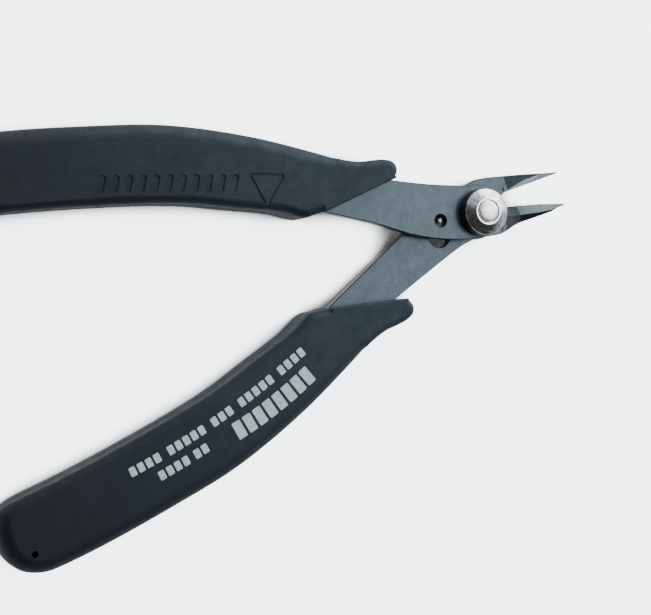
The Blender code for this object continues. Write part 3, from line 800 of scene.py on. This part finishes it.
def cut_with(piece, cutters):
    """Cuts all the bars out of the piece at once."""
    cutter = joined(cutters)
    modifier = piece.modifiers.new("engraving", "BOOLEAN")
    modifier.operation = "DIFFERENCE"
    modifier.solver = "EXACT"
    modifier.use_self = True
    modifier.object = cutter
    bpy.context.view_layer.objects.active = piece
    bpy.ops.object.modifier_apply(modifier=modifier.name)
    bpy.data.objects.remove(cutter)


front_grip = merged_copy("front_grip", "front_grip_sleeve")
front_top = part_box("front_grip")[1].z
cutters = []
for corner in range(3):
    facing = math.radians(TRIANGLE_TURN + 90 + 120 * corner)
    inradius = TRIANGLE_SIDE / (2 * math.sqrt(3))
    outward = (math.cos(facing), math.sin(facing))
    middle = [place + inradius * step for place, step in zip(TRIANGLE_AT, outward)]
    turn = TRIANGLE_TURN + 120 * corner
    cutters.append(cutter_bar(middle, TRIANGLE_SIDE * MM, GROOVE_WIDTH, turn, front_top))
for rib in range(RIB_COUNT):
    share = rib / (RIB_COUNT - 1)
    place = [a + (b - a) * share for a, b in zip(RIBS_FROM, RIBS_TO)]
    cutters.append(cutter_bar(place, RIB_LENGTH, RIB_WIDTH, RIB_LEAN, front_top))
cut_with(front_grip, cutters)
parting_groove(front_grip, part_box("front_grip")[1].x)
shade(front_grip, 32)
front_grip.data.materials.append(elastomer)
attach(front_grip, "front_half")
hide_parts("front_grip")


# ---------------------------------------------------------------------------
# Bench, light and camera. A pale bench top under the tool, a large soft light high on the jaw's
# side, and a room that is bright past the jaws and dark behind the handles.

FLOOR_SIZE = 3.0
FLOOR_DROP = 0.3 * MM
SHADE_REACH = 8 * MM  # how near the tool shades the bench under it
SHADE_SAMPLES = 24
COVERED = 0.48  # the bench is dark where it is less open than this
UNCOVERED = 0.62
GLOW = 4.6
MIRRORED_GLOW = 0.7  # the bench's glow as it falls on the tool and mirrors in it
BRIGHT_SIDE = Vector((0.7, 0.68, 0.2))  # towards the room's bright wall
LIGHT_DISTANCE = 0.55
CAMERA_FROM_PIVOT = Vector((-146.46, 15.26, 300.58)) * MM
CAMERA_TURN = (1.5, -21.0, -16.437)
LENS = 94.0

bpy.ops.object.select_all(action="DESELECT")
bpy.ops.mesh.primitive_plane_add(size=FLOOR_SIZE, location=(0, 0, cad_box[0][2] - FLOOR_DROP))
floor = bpy.context.active_object
floor.name = "bench_top"
paper = finish_of("bench_paper", (0.5, 0.5, 0.5), 0.0, 0.9)
paper_shader = paper.node_tree.nodes["Principled BSDF"]
paper_shader.inputs["Emission Color"].default_value = (0.93, 0.98, 1, 1)
# painted shadow: the bench's own glow is turned down where the tool covers it, in place of a cast shadow
openness = paper.node_tree.nodes.new("ShaderNodeAmbientOcclusion")
openness.inputs["Distance"].default_value = SHADE_REACH
openness.samples = SHADE_SAMPLES
open_share = share_between(paper, openness.outputs["AO"], COVERED, UNCOVERED)
ray = paper.node_tree.nodes.new("ShaderNodeLightPath")
seen = paper.node_tree.nodes.new("ShaderNodeMapRange")
seen.inputs["To Min"].default_value = MIRRORED_GLOW
seen.inputs["To Max"].default_value = GLOW
strength = paper.node_tree.nodes.new("ShaderNodeMath")
strength.operation = "MULTIPLY"
paper.node_tree.links.new(ray.outputs["Is Camera Ray"], seen.inputs["Value"])
paper.node_tree.links.new(open_share, strength.inputs[0])
paper.node_tree.links.new(seen.outputs["Result"], strength.inputs[1])
paper.node_tree.links.new(strength.outputs["Value"], paper_shader.inputs["Emission Strength"])
floor.data.materials.append(paper)

world = bpy.data.worlds.new("room")
bpy.context.scene.world = world
world.use_nodes = True
room = world.node_tree
direction = room.nodes.new("ShaderNodeTexCoord")


def room_levels(value, *stops):
    """Brightnesses of the room along a value, all of one slightly cool white."""
    cool = [(place, (level, level * 1.03, level * 1.07)) for place, level in stops]
    return ramp(world, value, *cool)


facing_light = room.nodes.new("ShaderNodeVectorMath")
facing_light.operation = "DOT_PRODUCT"
facing_light.inputs[1].default_value = BRIGHT_SIDE.normalized()
room.links.new(direction.outputs["Generated"], facing_light.inputs[0])
height = room.nodes.new("ShaderNodeSeparateXYZ")
room.links.new(direction.outputs["Generated"], height.inputs["Vector"])
walls = room_levels(
    facing_light.outputs["Value"],
    (0.0, 0.06),
    (0.2, 0.22),
    (0.36, 0.6),
    (0.55, 0.85),
    (0.75, 1.2),
    (1.0, 1.4),
)
horizon = room_levels(height.outputs["Z"], (0.0, 0.9), (0.22, 0.8), (0.38, 0.0))
brighter = blend_colours(world, 1.0, walls, horizon, "LIGHTEN")
room.links.new(brighter, room.nodes["Background"].inputs["Color"])


def softbox(name, direction, width, height, brightness):
    """A rectangular soft light that faces the pivot, its brightness that of its surface."""
    data = bpy.data.lights.new(name, "AREA")
    data.shape = "RECTANGLE"
    data.size = width
    data.size_y = height
    data.energy = brightness * math.pi * width * height
    stand = bpy.data.objects.new(name, data)
    towards = Vector(direction).normalized()
    stand.location = PIVOT + towards * LIGHT_DISTANCE
    stand.rotation_euler = (-towards).to_track_quat("-Z", "Y").to_euler()
    bpy.context.scene.collection.objects.link(stand)


softbox("overhead_light", (0.443, -0.046, 0.895), 0.2, 0.2, 6.5)
softbox("side_light", (0.785, 0.453, 0.42), 0.8, 0.3, 5.0)

camera_data = bpy.data.cameras.new("camera")
camera_data.lens = LENS
camera = bpy.data.objects.new("camera", camera_data)
camera.location = PIVOT + CAMERA_FROM_PIVOT
camera.rotation_euler = [math.radians(turn) for turn in CAMERA_TURN]
bpy.context.scene.collection.objects.link(camera)
bpy.context.scene.camera = camera
